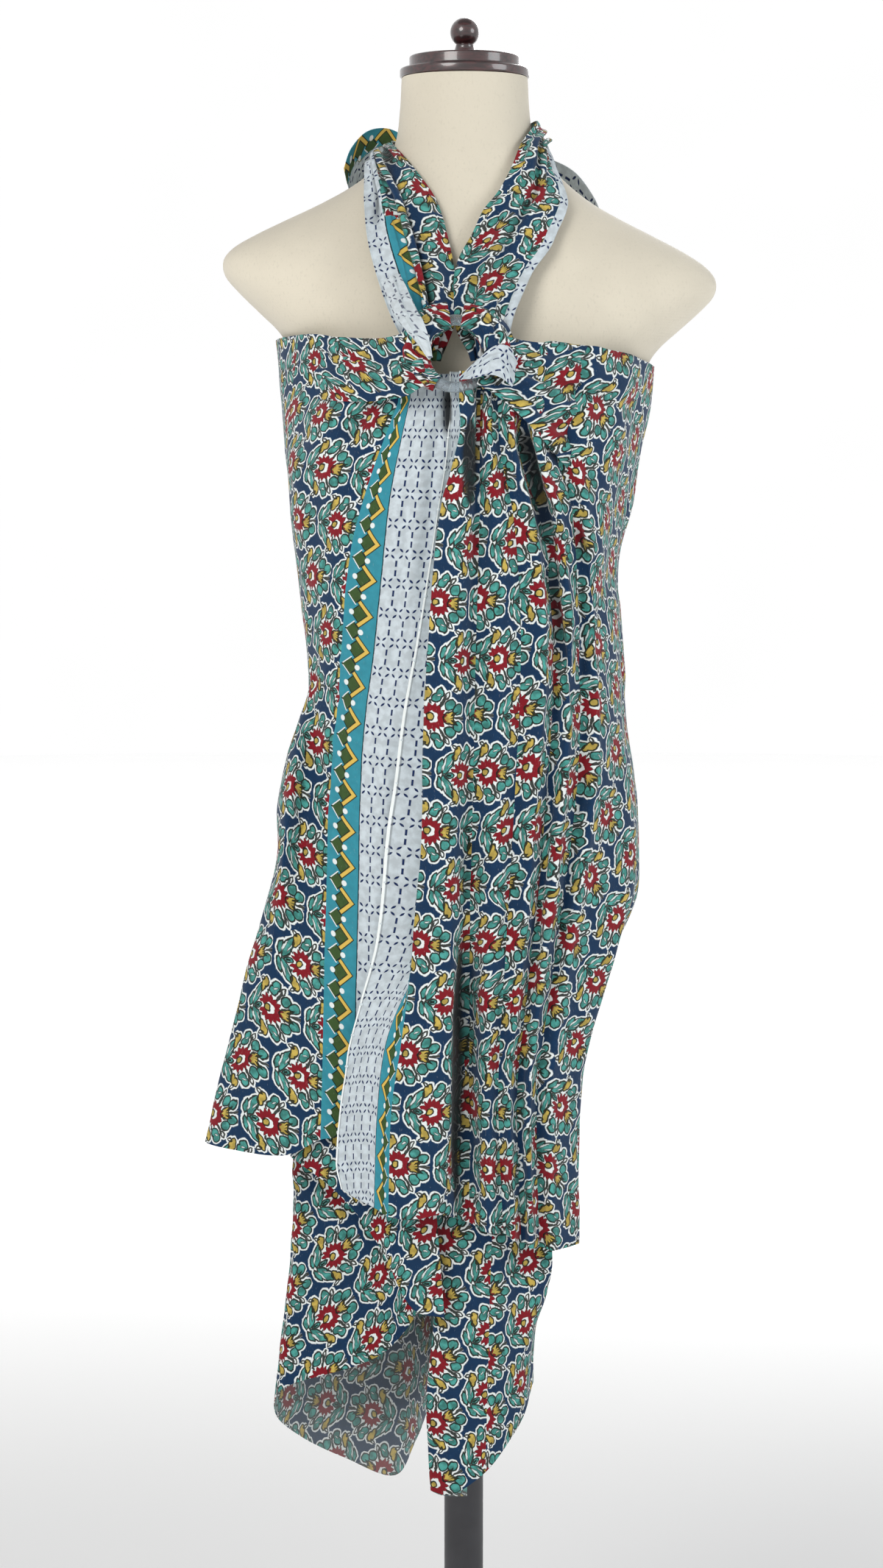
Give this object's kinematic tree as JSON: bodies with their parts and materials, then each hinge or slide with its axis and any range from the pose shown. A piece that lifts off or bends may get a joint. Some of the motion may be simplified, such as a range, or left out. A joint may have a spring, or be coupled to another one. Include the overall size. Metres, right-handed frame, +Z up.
{
  "type": "sarong tied as a halter on a dress form",
  "caption": "Block-printed cotton sarong drawn through a clear ring and tied behind the neck as a halter, hanging in soft pleats on a limbless dress form with a pole and round base.",
  "frame": {"origin": "middle of the underside of the stand's round base", "axes": "+Z up along the pole, front of the garment towards -Y, +X towards the viewer's right"},
  "size_m": [0.4076, 0.34, 1.5381],
  "materials": {
    "printed_cotton": "matte block-printed cotton voile",
    "clear_ring": "clear gloss acrylic",
    "form_cover": "matte cream jersey",
    "dark_mahogany": "dark gloss lacquer",
    "stand_metal": "satin black paint"
  },
  "bodies": {
    "root": {"left_front": "printed_cotton", "left_side_fold": "printed_cotton", "back_wrap": "printed_cotton", "right_side_fold": "printed_cotton", "right_front": "printed_cotton", "middle_fold": "printed_cotton", "lower_right_fold": "printed_cotton", "left_turn": "printed_cotton", "right_turn": "printed_cotton", "left_strap": "printed_cotton", "right_strap": "printed_cotton", "nape_knot": "printed_cotton", "left_tail": "printed_cotton", "right_tail": "printed_cotton", "ring": "clear_ring", "form_torso": "form_cover", "neck_cap": "dark_mahogany", "cap_knob": "dark_mahogany", "pole": "stand_metal", "base": "stand_metal"}
  },
  "joints": []
}
